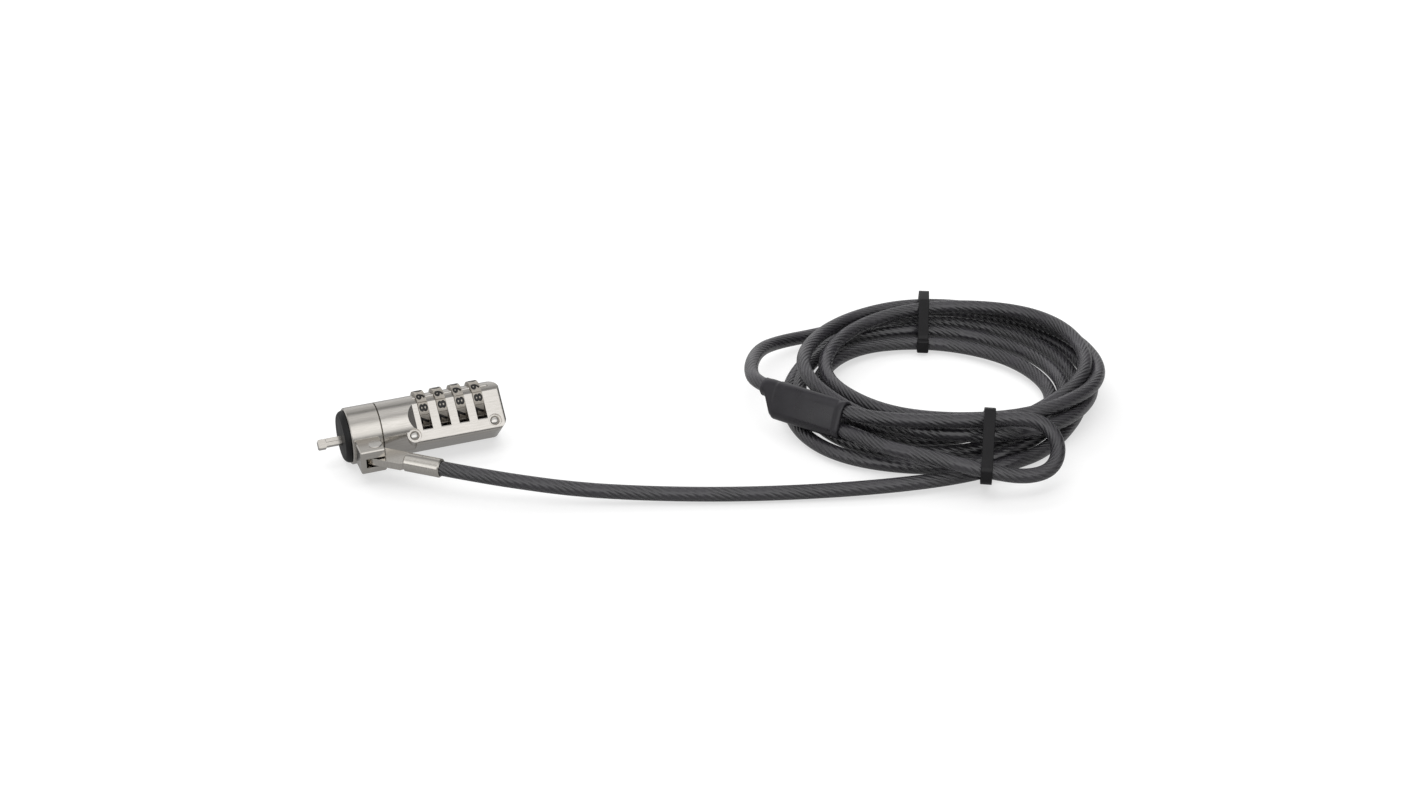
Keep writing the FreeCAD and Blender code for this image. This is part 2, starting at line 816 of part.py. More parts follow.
def in_sleeve(shape):
    """Lays a shape made along X, with its height along Y, at the sleeve's place."""
    placed = shape.copy()
    matrix = Matrix(
        sleeve_along.x, sleeve_up.x, sleeve_face.x, sleeve_centre.x,
        sleeve_along.y, sleeve_up.y, sleeve_face.y, sleeve_centre.y,
        sleeve_along.z, sleeve_up.z, sleeve_face.z, sleeve_centre.z,
        0, 0, 0, 1,
    )
    placed.Placement = Placement(matrix)
    return placed


def sleeve_point(along, up):
    """A point in the sleeve's middle plane."""
    return sleeve_centre.add(Vector(sleeve_along).multiply(along)).add(Vector(sleeve_up).multiply(up))


# Corners of the cable's route, each strand set on its place in the photograph
lead_points = [
    along_fitting(ferrule_end - ferrule_recess),
    along_fitting(ferrule_end + free_run),
    Vector(21.0, -35.6, 6.3),
    Vector(38.0, -43.6, 4.1),
    Vector(57.0, -51.3, 2.8),
    Vector(80.0, -60.2, 2.3),
    Vector(104.0, -68.0, 2.3),
    Vector(127.4, -74.7, 2.95),
    Vector(148.4, -78.3, 3.35),
    Vector(165.0, -77.9, 3.65),
]
coil_points = [
    Vector(185.4, -71.0, 2.50),
    Vector(212.6, -47.8, 2.80),
    Vector(216.2, -9.2, 4.50),
    Vector(188.2, 19.9, 3.95),
    Vector(147.1, 20.8, 2.65),
    Vector(118.7, -8.6, 2.55),
    Vector(115.0, -51.2, 3.05),
    Vector(149.2, -74.4, 3.05),
    Vector(183.6, -67.4, 4.45),
    Vector(207.1, -45.5, 5.80),
    Vector(208.6, -12.4, 5.10),
    Vector(185.4, 12.6, 3.50),
    Vector(148.8, 16.7, 5.40),
    Vector(120.7, -9.8, 8.65),
    Vector(126.2, -46.5, 6.75),
    Vector(152.2, -67.2, 3.30),
    Vector(181.6, -62.6, 2.85),
    Vector(203.0, -43.8, 2.75),
    Vector(202.0, -15.0, 3.10),
    Vector(182.5, 6.1, 3.05),
    Vector(151.4, 10.7, 4.55),
    Vector(129.2, -13.2, 4.75),
    Vector(133.6, -43.5, 4.70),
    Vector(154.9, -60.6, 5.65),
    Vector(182.0, -63.1, 9.05),
    Vector(213.5, -48.0, 11.70),
    Vector(219.0, -8.1, 11.40),
    Vector(187.6, 18.0, 10.15),
    Vector(150.4, 12.8, 9.50),
    Vector(130.1, -13.6, 9.80),
    Vector(136.6, -42.3, 9.10),
    Vector(155.1, -60.2, 11.45),
    Vector(184.0, -68.0, 12.65),
    Vector(218.6, -50.4, 10.40),
    Vector(222.7, -6.6, 7.90),
    Vector(189.8, 23.6, 8.35),
    Vector(148.4, 17.6, 11.05),
    Vector(125.4, -11.7, 12.10),
    Vector(131.2, -44.4, 8.95),
    Vector(152.8, -65.8, 9.55),
    Vector(185.8, -72.4, 8.75),
    Vector(217.4, -49.8, 4.95),
    Vector(221.4, -7.1, 3.00),
    Vector(190.8, 26.3, 3.05),
    Vector(145.7, 24.8, 3.00),
]
tail_points = [
    Vector(131.3, 19.2, 4.85),
    Vector(120.1, 10.9, 8.1),
    Vector(110.8, -3.8, 10.8),
    sleeve_point(-sleeve_length / 2 - entry_run, strand_offset),
    sleeve_point(-sleeve_length / 2 + sleeve_mouth, strand_offset),
]

# The coil: eight corners a turn, five turns and a half, each strand clear of the others
coil_start = lead_points[-1].add(coil_points[0]).multiply(0.5)
coil_end = coil_points[-1].add(tail_points[0]).multiply(0.5)
coil_edges, coil_radii = cord_edges([coil_start] + coil_points + [coil_end])
coil_length = sum(edge.Length for edge in coil_edges)
samples = []
reached = coil_start
for edge in coil_edges:
    pieces = max(1, int(edge.Length / sample_step))
    span = edge.LastParameter - edge.FirstParameter
    row = [edge.valueAt(edge.FirstParameter + span * i / pieces) for i in range(pieces + 1)]
    if row[-1].distanceToPoint(reached) < row[0].distanceToPoint(reached):
        row.reverse()
    samples += row[:-1]
    reached = row[-1]
apart = int(neighbour_run / sample_step)
least = min(
    samples[i].distanceToPoint(samples[j])
    for i in range(0, len(samples), 2)
    for j in range(i + apart, len(samples))
)
print("coil length", round(coil_length, 1), "least gap to itself", round(least - cable_diameter, 2))
print("coil radii from", round(min(coil_radii), 1), "to", round(max(coil_radii), 1))
coil = tube(coil_edges, cable_diameter)
export(coil, "cable_coil")

# The lead from the ferrule lies on the floor and passes under the strap; the tail turns back into the sleeve
cable_length = coil_length + export_cord(lead_points + [coil_start], "cable_lead")
cable_length += export_cord([coil_end] + tail_points, "cable_tail")

# The end loop leaves the sleeve on one side and comes back on the other
loop_points = [
    sleeve_point(sleeve_length / 2 - sleeve_mouth, strand_offset),
    sleeve_point(sleeve_length / 2 + sleeve_run, strand_offset),
    Vector(138.0, -58.8, 14.85),
    Vector(153.4, -65.5, 14.85),
    Vector(168.7, -71.3, 16.05),
    Vector(177.9, -76.7, 15.85),
    Vector(179.8, -83.8, 11.05),
    Vector(174.7, -89.7, 6.85),
    Vector(165.0, -90.5, 6.45),
    Vector(153.6, -85.8, 8.65),
    Vector(141.0, -76.0, 10.55),
    Vector(130.2, -64.0, 9.95),
    sleeve_point(sleeve_length / 2 + sleeve_run, -strand_offset),
    sleeve_point(sleeve_length / 2 - sleeve_mouth, -strand_offset),
]
cable_length += export_cord(loop_points, "cable_loop")
crimp_length = sleeve_length - 2 * sleeve_mouth
print("whole cable", round(cable_length + 2 * crimp_length, 1))

# Crimp: an aluminium sleeve pressed over both strands, inside the plastic cover
crimp_half_height = sleeve_height / 2 - sleeve_wall
crimp_half_depth = sleeve_thickness / 2 - sleeve_wall
crimp_x = -crimp_length / 2
crimp = rounded_prism(
    [
        Vector(crimp_x, -crimp_half_height, -crimp_half_depth),
        Vector(crimp_x, crimp_half_height, -crimp_half_depth),
        Vector(crimp_x, crimp_half_height, crimp_half_depth),
        Vector(crimp_x, -crimp_half_height, crimp_half_depth),
    ],
    [sleeve_round - sleeve_wall] * 4,
    Vector(crimp_length, 0, 0),
)
export(in_sleeve(crimp), "loop_crimp")

# Plastic cover over the crimp, its shoulder sloping down to a round neck where the single strand enters
half_height = sleeve_height / 2
half_depth = sleeve_thickness / 2
cover_x = -sleeve_length / 2
sleeve_form = rounded_prism(
    [
        Vector(cover_x, -half_height, -half_depth),
        Vector(cover_x, half_height, -half_depth),
        Vector(cover_x, half_height, half_depth),
        Vector(cover_x, -half_height, half_depth),
    ],
    [sleeve_round] * 4,
    Vector(sleeve_length, 0, 0),
)
end_rims = [e for e in sleeve_form.Edges if e.BoundBox.XLength < 1e-6]
sleeve_form = sleeve_form.makeFillet(sleeve_edge, end_rims)
neck_foot = Vector(cover_x - neck_length, strand_offset, 0)
neck = Part.makeCylinder(neck_radius, neck_length + 1, neck_foot, Vector(1, 0, 0))
shoulder_x = cover_x - neck_length + neck_collar
shoulder_ends = []
for x, low, high, depth, rounding in (
    (shoulder_x, strand_offset - neck_radius, strand_offset + neck_radius, neck_radius, neck_round),
    (cover_x + sleeve_edge, -half_height, half_height, half_depth, sleeve_round),
):
    corners = [Vector(x, low, -depth), Vector(x, high, -depth), Vector(x, high, depth), Vector(x, low, depth)]
    shoulder_ends.append(rounded_wire(corners, [rounding] * len(corners)))
shoulder = Part.makeLoft(shoulder_ends, True, True)
strand_hole = Part.makeCylinder(
    cable_diameter / 2 + cable_gap, neck_length + 4, neck_foot.sub(Vector(1, 0, 0)), Vector(1, 0, 0)
)
mouth = rounded_prism(
    [
        Vector(crimp_length / 2, -crimp_half_height, -crimp_half_depth),
        Vector(crimp_length / 2, crimp_half_height, -crimp_half_depth),
        Vector(crimp_length / 2, crimp_half_height, crimp_half_depth),
        Vector(crimp_length / 2, -crimp_half_height, crimp_half_depth),
    ],
    [sleeve_round - sleeve_wall] * 4,
    Vector(sleeve_length, 0, 0),
)
sleeve_cover = cut_all(fused([sleeve_form, neck, shoulder]), [crimp, mouth, strand_hole])
export(in_sleeve(sleeve_cover), "sleeve_cover")

# Cable ties: each strap goes round all the strands in one upright plane
tie_planes = {
    "cable_tie_far": (Vector(182.2, 14.3, 0), 64.0),
    "cable_tie_front": (Vector(161.4, -73.7, 0), -119.0),
}
tie_outlines = {
    "cable_tie_far": [(12.5, 0.7), (12.5, 7.0), (6.9, 12.8), (0.0, 12.8), (-12.4, 5.3), (-12.4, 0.7)],
    "cable_tie_front": [
        (5.6, 0.7),
        (16.4, 5.9),
        (16.4, 10.3),
        (-4.7, 18.9),
        (-17.2, 12.0),
        (-17.2, 4.6),
        (-12.2, 0.7),
    ],
}
tie_head_corners = {"cable_tie_far": (-12.4, 5.3), "cable_tie_front": (-17.2, 12.0)}
for name, (origin, angle) in tie_planes.items():
    corners = [Vector(0, u, z) for u, z in tie_outlines[name]]
    inner = rounded_wire(corners, [tie_round] * len(corners))
    outer = inner.makeOffset2D(tie_thickness)
    strap = Part.Face(outer).cut(Part.Face(inner)).extrude(Vector(tie_width, 0, 0))
    strap.translate(Vector(-tie_width / 2, 0, 0))
    head_corner = tie_outlines[name].index(tie_head_corners[name])
    first = corners[head_corner]
    second = corners[(head_corner + 1) % len(corners)]
    run = second.sub(first)
    slope = math.degrees(math.atan2(run.z, run.y))
    head_width, head_depth, head_length = tie_head
    head_foot = Vector(-head_width / 2, -head_length / 2, -head_depth)
    head = Part.makeBox(head_width, head_length, head_depth, head_foot)
    head = head.makeChamfer(tie_head_edge, [e for e in head.Edges if e.BoundBox.ZMax < -head_depth + 1e-6])
    head.rotate(Vector(0, 0, 0), Vector(1, 0, 0), slope)
    head.translate(first.add(second).multiply(0.5))
    tie = fused([strap, head])
    tie.rotate(Vector(0, 0, 0), Vector(0, 0, 1), angle - 90)
    tie.translate(origin)
    export(tie, name)
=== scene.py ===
import math

import bmesh
import bpy
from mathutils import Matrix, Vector


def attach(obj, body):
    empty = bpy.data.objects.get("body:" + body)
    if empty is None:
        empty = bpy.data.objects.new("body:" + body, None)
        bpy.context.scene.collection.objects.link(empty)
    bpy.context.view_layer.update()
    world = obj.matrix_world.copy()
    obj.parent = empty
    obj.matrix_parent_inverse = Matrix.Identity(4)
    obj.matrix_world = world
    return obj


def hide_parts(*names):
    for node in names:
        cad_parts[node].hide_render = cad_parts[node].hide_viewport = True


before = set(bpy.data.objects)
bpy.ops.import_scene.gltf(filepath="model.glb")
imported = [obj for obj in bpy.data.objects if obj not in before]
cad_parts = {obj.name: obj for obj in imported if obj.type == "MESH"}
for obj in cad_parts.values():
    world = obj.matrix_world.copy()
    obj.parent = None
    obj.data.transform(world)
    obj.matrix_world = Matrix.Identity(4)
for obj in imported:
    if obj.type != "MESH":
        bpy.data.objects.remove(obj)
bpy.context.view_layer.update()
bpy.ops.object.select_all(action="DESELECT")

# The studio: a white paper sweep under soft lamps. What the plated metal mirrors is a light tent: a broad
# white cloth towards the camera, a strip overhead and the backdrop, with dark gaps at the horizon and behind.
millimetre = 0.001
scene = bpy.context.scene
scene.view_settings.view_transform = "Standard"


def linear(colour):
    """A colour written as six sRGB hex digits, as the linear red, green and blue of a shader."""
    parts = [int(colour[i : i + 2], 16) / 255 for i in (0, 2, 4)]
    return [c / 12.92 if c <= 0.04045 else ((c + 0.055) / 1.055) ** 2.4 for c in parts] + [1.0]


def add_node(tree, kind, inputs=None, **settings):
    """A new node, with its settings and with its inputs set to values or linked from sockets."""
    made = tree.nodes.new(kind)
    for key, value in settings.items():
        setattr(made, key, value)
    for key, value in (inputs or {}).items():
        if isinstance(value, bpy.types.NodeSocket):
            tree.links.new(value, made.inputs[key])
        else:
            made.inputs[key].default_value = value
    return made


def set_ramp(ramp, stops):
    """Gives a colour ramp its stops, each a place from 0 to 1 and a grey value or a hex colour."""
    elements = ramp.color_ramp.elements
    while len(elements) < len(stops):
        elements.new(0.5)
    for element, (place, tone) in zip(elements, stops):
        element.position = place
    for element, (place, tone) in zip(elements, stops):
        element.color = linear(tone) if isinstance(tone, str) else (tone, tone, tone, 1.0)


def new_material(name):
    """An empty material with its output node."""
    material = bpy.data.materials.new(name)
    material.use_nodes = True
    material.node_tree.nodes.clear()
    output = add_node(material.node_tree, "ShaderNodeOutputMaterial")
    return material, material.node_tree, output


zenith_light = 0.65
horizon_light = 0.10
tent_light = 1.40
backdrop_light = 1.0
tent_stops = [
    (0.20, 0.30),
    (0.49, 0.30),
    (0.500, 0.16),
    (0.525, 0.20),
    (0.560, 0.86),
    (0.620, 0.98),
    (0.660, 0.94),
    (0.690, 0.68),
    (0.715, 0.42),
    (0.755, 0.60),
    (0.810, 0.55),
    (0.845, 0.16),
    (0.880, 0.38),
    (0.940, 0.50),
    (1.00, 0.54),
]
side_stops = [(0.0, 1.0), (0.63, 1.0), (0.76, 0.80), (0.88, 0.40), (0.95, 0.12), (1.0, 0.10)]
mirrored_paper_look = ("616161", 0.28)
seen_paper_look = ("AAAAAA", 0.62)
paper_roughness = 0.9
world = bpy.data.worlds.new("white_light_tent")
scene.world = world
world.use_nodes = True
world_tree = world.node_tree
world_tree.nodes.clear()
heading = add_node(world_tree, "ShaderNodeTexCoord")
parts = add_node(world_tree, "ShaderNodeSeparateXYZ", {0: heading.outputs["Generated"]})
towards_camera = add_node(
    world_tree, "ShaderNodeMath", {0: parts.outputs["Y"], 1: -1.0}, operation="MULTIPLY"
)
rise = add_node(
    world_tree, "ShaderNodeMath", {0: parts.outputs["Z"], 1: towards_camera.outputs[0]}, operation="ARCTAN2"
)
tent_place = add_node(world_tree, "ShaderNodeMapRange", {0: rise.outputs[0], 1: -math.pi, 2: math.pi})
tent_tone = add_node(world_tree, "ShaderNodeValToRGB", {0: tent_place.outputs[0]})
set_ramp(tent_tone, tent_stops)
sideways = add_node(world_tree, "ShaderNodeMapRange", {0: parts.outputs["X"], 1: -1.0, 2: 1.0})
side_tone = add_node(world_tree, "ShaderNodeValToRGB", {0: sideways.outputs[0]})
set_ramp(side_tone, side_stops)
tent_colour = add_node(
    world_tree,
    "ShaderNodeMix",
    {0: 1.0, 6: tent_tone.outputs[0], 7: side_tone.outputs[0]},
    data_type="RGBA",
    blend_type="MULTIPLY",
)
seen_by = add_node(world_tree, "ShaderNodeLightPath")
room_light = add_node(
    world_tree,
    "ShaderNodeMapRange",
    {0: parts.outputs["Z"], 1: 0.0, 2: 1.0, 3: horizon_light, 4: zenith_light},
)
room_side = add_node(
    world_tree, "ShaderNodeBackground", {"Color": linear("FFFFFF"), "Strength": room_light.outputs[0]}
)
tent_side = add_node(
    world_tree, "ShaderNodeBackground", {"Color": tent_colour.outputs[2], "Strength": tent_light}
)
seen_side = add_node(
    world_tree, "ShaderNodeBackground", {"Color": linear("FFFFFF"), "Strength": backdrop_light}
)
mirrored = add_node(
    world_tree,
    "ShaderNodeMixShader",
    {0: seen_by.outputs["Is Glossy Ray"], 1: room_side.outputs[0], 2: tent_side.outputs[0]},
)
direct = add_node(
    world_tree,
    "ShaderNodeMath",
    {0: seen_by.outputs["Is Camera Ray"], 1: seen_by.outputs["Is Transmission Ray"]},
    operation="MAXIMUM",
)
backdrop = add_node(
    world_tree, "ShaderNodeMixShader", {0: direct.outputs[0], 1: mirrored.outputs[0], 2: seen_side.outputs[0]}
)
add_node(world_tree, "ShaderNodeOutputWorld", {"Surface": backdrop.outputs[0]})

floor_size = 6.0
floor_drop = 0.0001
bpy.ops.mesh.primitive_plane_add(size=floor_size, location=(0.1, 0, -floor_drop))
floor = bpy.context.active_object
floor.name = "floor"
floor_paint, tree, output = new_material("white_paper_sweep")
paper = add_node(
    tree,
    "ShaderNodeBsdfPrincipled",
    {"Base Color": linear("F2F2F2"), "Roughness": paper_roughness, "Specular IOR Level": 0.0},
)


def lifted_paper(tone, light):
    """Paper of a tone that also gives off a little light of its own, so that shadows stay pale."""
    matt = add_node(
        tree,
        "ShaderNodeBsdfPrincipled",
        {"Base Color": linear(tone), "Roughness": paper_roughness, "Specular IOR Level": 0.0},
    )
    lift = add_node(tree, "ShaderNodeEmission", {"Color": linear("FFFFFF"), "Strength": light})
    return add_node(tree, "ShaderNodeAddShader", {0: matt.outputs[0], 1: lift.outputs[0]})


path = add_node(tree, "ShaderNodeLightPath")
mirrored_paper = add_node(
    tree,
    "ShaderNodeMixShader",
    {
        0: path.outputs["Is Glossy Ray"],
        1: paper.outputs[0],
        2: lifted_paper(*mirrored_paper_look).outputs[0],
    },
)
seen_paper = add_node(
    tree,
    "ShaderNodeMixShader",
    {
        0: path.outputs["Is Camera Ray"],
        1: mirrored_paper.outputs[0],
        2: lifted_paper(*seen_paper_look).outputs[0],
    },
)
tree.links.new(seen_paper.outputs[0], output.inputs["Surface"])
floor.data.materials.append(floor_paint)

lit_point = Vector((0.08, -0.02, 0.0))
softboxes = [
    ("overhead", (0.08, -0.05, 1.10), (1.5, 0.8), 6.0),
    ("back_light", (0.10, 0.90, 0.60), (1.8, 1.0), 14.0),
    ("left_fill", (-1.1, -0.3, 0.55), (0.5, 0.9), 1.0),
]
for name, place, size, power in softboxes:
    softbox = bpy.data.lights.new(name, "AREA")
    softbox.shape = "RECTANGLE"
    softbox.size, softbox.size_y = size
    softbox.energy = power
    light = bpy.data.objects.new(name, softbox)
    scene.collection.objects.link(light)
    light.location = place
    light.rotation_euler = (lit_point - Vector(place)).to_track_quat("-Z", "Y").to_euler()
    light.visible_glossy = False

camera_lens = 55.8
camera_place = Vector((-128.2, -578.95, 351.4))
camera_tilt = 60.5
camera_heading = -21.4
camera_data = bpy.data.cameras.new("camera")
camera_data.lens = camera_lens
camera_data.sensor_width = 36.0
camera = bpy.data.objects.new("camera", camera_data)
scene.collection.objects.link(camera)
camera.location = camera_place * millimetre
camera.rotation_euler = (math.radians(camera_tilt), 0.0, math.radians(camera_heading))
scene.camera = camera

# The cable: a galvanised wire rope, twelve wires showing, in a clear smoke-grey PVC coat drawn over it.
# It leaves the ferrule, lies along the floor, winds five loose turns and a half and enters the sleeve.
cable_diameter = 4.5
fitting_angle = math.radians(-41.0)
clevis_pin = Vector((-13.6, -8.85, 7.65))
ferrule_end = 22.0
ferrule_recess = 1.0
free_run = 8.0
sleeve_centre = Vector((117.5, -37.45, 11.4))
sleeve_heading = math.radians(-59.6)
sleeve_pitch = math.radians(3.2)
sleeve_lean = math.radians(23.8)
sleeve_half = 13.0
sleeve_mouth = 1.5
sleeve_run = 5.0
entry_run = 9.0
strand_offset = 2.9
ring_sides = 28
ring_step = 0.9
spline_steps = 32

sleeve_along = Vector(
    (
        math.cos(sleeve_heading) * math.cos(sleeve_pitch),
        math.sin(sleeve_heading) * math.cos(sleeve_pitch),
        math.sin(sleeve_pitch),
    )
)
level_side = Vector((-math.sin(sleeve_heading), math.cos(sleeve_heading), 0.0))
upright = -level_side.cross(sleeve_along)
sleeve_up = upright * math.cos(sleeve_lean) + level_side * math.sin(sleeve_lean)


def along_fitting(distance):
    """A point on the ferrule's axis, at a distance from the clevis pin."""
    return clevis_pin + distance * Vector((math.cos(fitting_angle), math.sin(fitting_angle), 0.0))


def in_sleeve(along, up):
    """A point in the sleeve's middle plane."""
    return sleeve_centre + sleeve_along * along + sleeve_up * up


lead_points = [
    along_fitting(ferrule_end - ferrule_recess),
    along_fitting(ferrule_end + free_run),
    (21.0, -35.6, 6.3),
    (38.0, -43.6, 4.1),
    (57.0, -51.3, 2.8),
    (80.0, -60.2, 2.3),
    (104.0, -68.0, 2.3),
    (127.4, -74.7, 2.95),
    (148.4, -78.3, 3.35),
    (165.0, -77.9, 3.65),
]
coil_points = [
    (184.3, -72.5, 2.64),
    (212.2, -47.2, 2.22),
    (215.8, -8.7, 3.22),
    (188.8, 19.8, 3.01),
    (149.6, 20.3, 2.39),
    (118.1, -9.6, 2.29),
    (113.9, -50.5, 3.14),
    (149.7, -73.7, 2.08),
    (182.8, -69.4, 4.65),
    (206.3, -45.9, 5.41),
    (207.5, -12.7, 3.38),
    (185.0, 12.7, 3.16),
    (150.1, 15.6, 3.98),
    (120.1, -13.6, 6.62),
    (121.4, -49.0, 3.85),
    (151.9, -66.5, 3.35),
    (181.3, -62.0, 2.22),
    (202.5, -44.4, 2.68),
    (200.6, -17.8, 3.57),
    (180.8, 5.6, 2.45),
    (150.0, 8.7, 3.87),
    (125.9, -15.6, 4.73),
    (132.8, -45.6, 3.72),
    (153.1, -61.1, 5.10),
    (182.4, -62.8, 9.02),
    (213.9, -47.9, 12.76),
    (219.1, -8.1, 12.02),
    (186.8, 17.0, 10.00),
    (151.7, 11.9, 9.58),
    (130.3, -12.6, 9.14),
    (136.3, -42.2, 10.04),
    (154.8, -60.2, 11.75),
    (183.2, -68.2, 12.63),
    (217.4, -51.4, 10.62),
    (222.4, -6.6, 7.45),
    (187.6, 23.2, 8.14),
    (149.2, 17.4, 9.95),
    (121.5, -12.4, 13.30),
    (130.8, -45.6, 9.56),
    (152.3, -66.8, 10.08),
    (185.8, -72.2, 8.74),
    (216.0, -48.1, 5.11),
    (221.8, -6.7, 2.72),
    (190.9, 27.2, 2.50),
    (147.8, 23.3, 2.46),
]
tail_points = [
    (131.3, 19.2, 4.85),
    (120.1, 10.9, 8.1),
    (110.8, -3.8, 10.8),
    in_sleeve(-sleeve_half - entry_run, strand_offset),
    in_sleeve(-sleeve_half + sleeve_mouth, strand_offset),
]


def smooth_line(points, step):
    """The line of a NURBS spline along a route, in points about one step apart, in metres."""
    curve = bpy.data.curves.new("route", "CURVE")
    curve.dimensions = "3D"
    spline = curve.splines.new("NURBS")
    spline.points.add(len(points) - 1)
    for made, place in zip(spline.points, points):
        made.co = (*(Vector(place) * millimetre), 1.0)
    spline.order_u = 3
    spline.use_endpoint_u = True
    spline.resolution_u = spline_steps
    carrier = bpy.data.objects.new("route", curve)
    mesh = bpy.data.meshes.new_from_object(carrier)
    raw = [vertex.co.copy() for vertex in mesh.vertices]
    bpy.data.meshes.remove(mesh)
    bpy.data.curves.remove(curve)
    reached = [0.0]
    for a, b in zip(raw, raw[1:]):
        reached.append(reached[-1] + (b - a).length)
    count = max(2, round(reached[-1] / (step * millimetre)))
    line, i = [], 0
    for k in range(count + 1):
        wanted = reached[-1] * k / count
        while i < len(raw) - 2 and reached[i + 1] < wanted:
            i += 1
        share = (wanted - reached[i]) / max(reached[i + 1] - reached[i], 1e-9)
        line.append(raw[i].lerp(raw[i + 1], min(1.0, share)))
    return line


def round_tube(name, line, radius, sides):
    """A tube along a line, with a map of millimetres along it and turns around it that doesn't twist."""
    body = bmesh.new()
    tube_map = body.loops.layers.uv.new("along_and_around")
    ahead = (line[1] - line[0]).normalized()
    side = ahead.orthogonal().normalized()
    rings, along = [], [0.0]
    for i, centre in enumerate(line):
        following = (line[min(i + 1, len(line) - 1)] - line[max(i - 1, 0)]).normalized()
        side.rotate(ahead.rotation_difference(following))
        side = (side - following * side.dot(following)).normalized()
        ahead = following
        up = ahead.cross(side)
        turns = [2 * math.pi * k / sides for k in range(sides)]
        rings.append(
            [body.verts.new(centre + radius * (math.cos(t) * side + math.sin(t) * up)) for t in turns]
        )
        if i:
            along.append(along[-1] + (centre - line[i - 1]).length / millimetre)
    for i in range(len(line) - 1):
        for k in range(sides):
            after = (k + 1) % sides
            face = body.faces.new(
                (rings[i][k], rings[i][after], rings[i + 1][after], rings[i + 1][k])
            )
            face.smooth = True
            corners = [(i, k), (i, k + 1), (i + 1, k + 1), (i + 1, k)]
            for loop, (row, column) in zip(face.loops, corners):
                loop[tube_map].uv = (along[row], column / sides)
    body.faces.new(list(reversed(rings[0])))
    body.faces.new(rings[-1])
    mesh = bpy.data.meshes.new(name)
    body.to_mesh(mesh)
    body.free()
    tube = bpy.data.objects.new(name, mesh)
    scene.collection.objects.link(tube)
    return tube


# Clear smoke-grey PVC over galvanised wire: the coat is smooth with a soft gloss, and the wires show
# through it as slanted ridges, stronger here and there, coloured with painted shade in the grooves
# between them and a painted highlight along their crowns.
wire_count = 12
wire_lay = 31.0
wire_relief = 0.19
# Painted shade in the grooves between the wires, rising to a painted highlight on their crowns.
wire_groove_shade_and_crown_highlight_tones = [(0.0, "1F1E21"), (0.45, "323134"), (1.0, "424144")]
plain_tone = "343237"
streak_length = 9.0
clarity_range = (0.15, 1.0)
coat, tree, output = new_material("smoke_pvc_over_wire_rope")
tube_map = add_node(tree, "ShaderNodeUVMap", uv_map="along_and_around")
parts = add_node(tree, "ShaderNodeSeparateXYZ", {0: tube_map.outputs[0]})
lay_turn = add_node(tree, "ShaderNodeMath", {0: parts.outputs[0], 1: wire_lay}, operation="DIVIDE")
angle = add_node(
    tree, "ShaderNodeMath", {0: parts.outputs[1], 1: lay_turn.outputs[0]}, operation="SUBTRACT"
)
phase = add_node(
    tree, "ShaderNodeMath", {0: angle.outputs[0], 1: 2 * math.pi * wire_count}, operation="MULTIPLY"
)
wave = add_node(tree, "ShaderNodeMath", {0: phase.outputs[0]}, operation="SINE")
wire_height = add_node(tree, "ShaderNodeMapRange", {0: wave.outputs[0], 1: -1.0, 2: 1.0})
# The wires' painted shade and highlight, from the groove to the crown.
painted_wire_shade_and_highlight = add_node(tree, "ShaderNodeValToRGB", {0: wire_height.outputs[0]})
set_ramp(painted_wire_shade_and_highlight, wire_groove_shade_and_crown_highlight_tones)
place = add_node(tree, "ShaderNodeTexCoord")
patches = add_node(
    tree,
    "ShaderNodeTexNoise",
    {"Vector": place.outputs["Object"], "Scale": 1 / (streak_length * millimetre), "Detail": 3.0},
)
clarity = add_node(
    tree,
    "ShaderNodeMapRange",
    {0: patches.outputs[0], 1: 0.35, 2: 0.60, 3: clarity_range[0], 4: clarity_range[1]},
)
# Plain coat colour mixed with the wires' painted shade and highlight, more or less clear in patches.
coat_colour_with_painted_wire_light = add_node(
    tree,
    "ShaderNodeMix",
    {0: clarity.outputs[0], 6: linear(plain_tone), 7: painted_wire_shade_and_highlight.outputs[0]},
    data_type="RGBA",
)
shown_height = add_node(
    tree, "ShaderNodeMath", {0: wire_height.outputs[0], 1: clarity.outputs[0]}, operation="MULTIPLY"
)
relief = add_node(
    tree,
    "ShaderNodeBump",
    {"Height": shown_height.outputs[0], "Strength": 1.0, "Distance": wire_relief * millimetre},
)
skin = add_node(
    tree,
    "ShaderNodeBsdfPrincipled",
    {
        "Base Color": coat_colour_with_painted_wire_light.outputs[2],
        "Roughness": 0.27,
        "IOR": 1.62,
        "Coat Weight": 0.30,
        "Coat Roughness": 0.25,
        "Normal": relief.outputs[0],
    },
)
tree.links.new(skin.outputs[0], output.inputs["Surface"])

cable_line = smooth_line(lead_points + coil_points + tail_points, ring_step)
cable = round_tube("cable", cable_line, cable_diameter / 2 * millimetre, ring_sides)
cable.data.materials.append(coat)
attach(cable, "cable")
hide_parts("cable_lead", "cable_coil", "cable_tail")

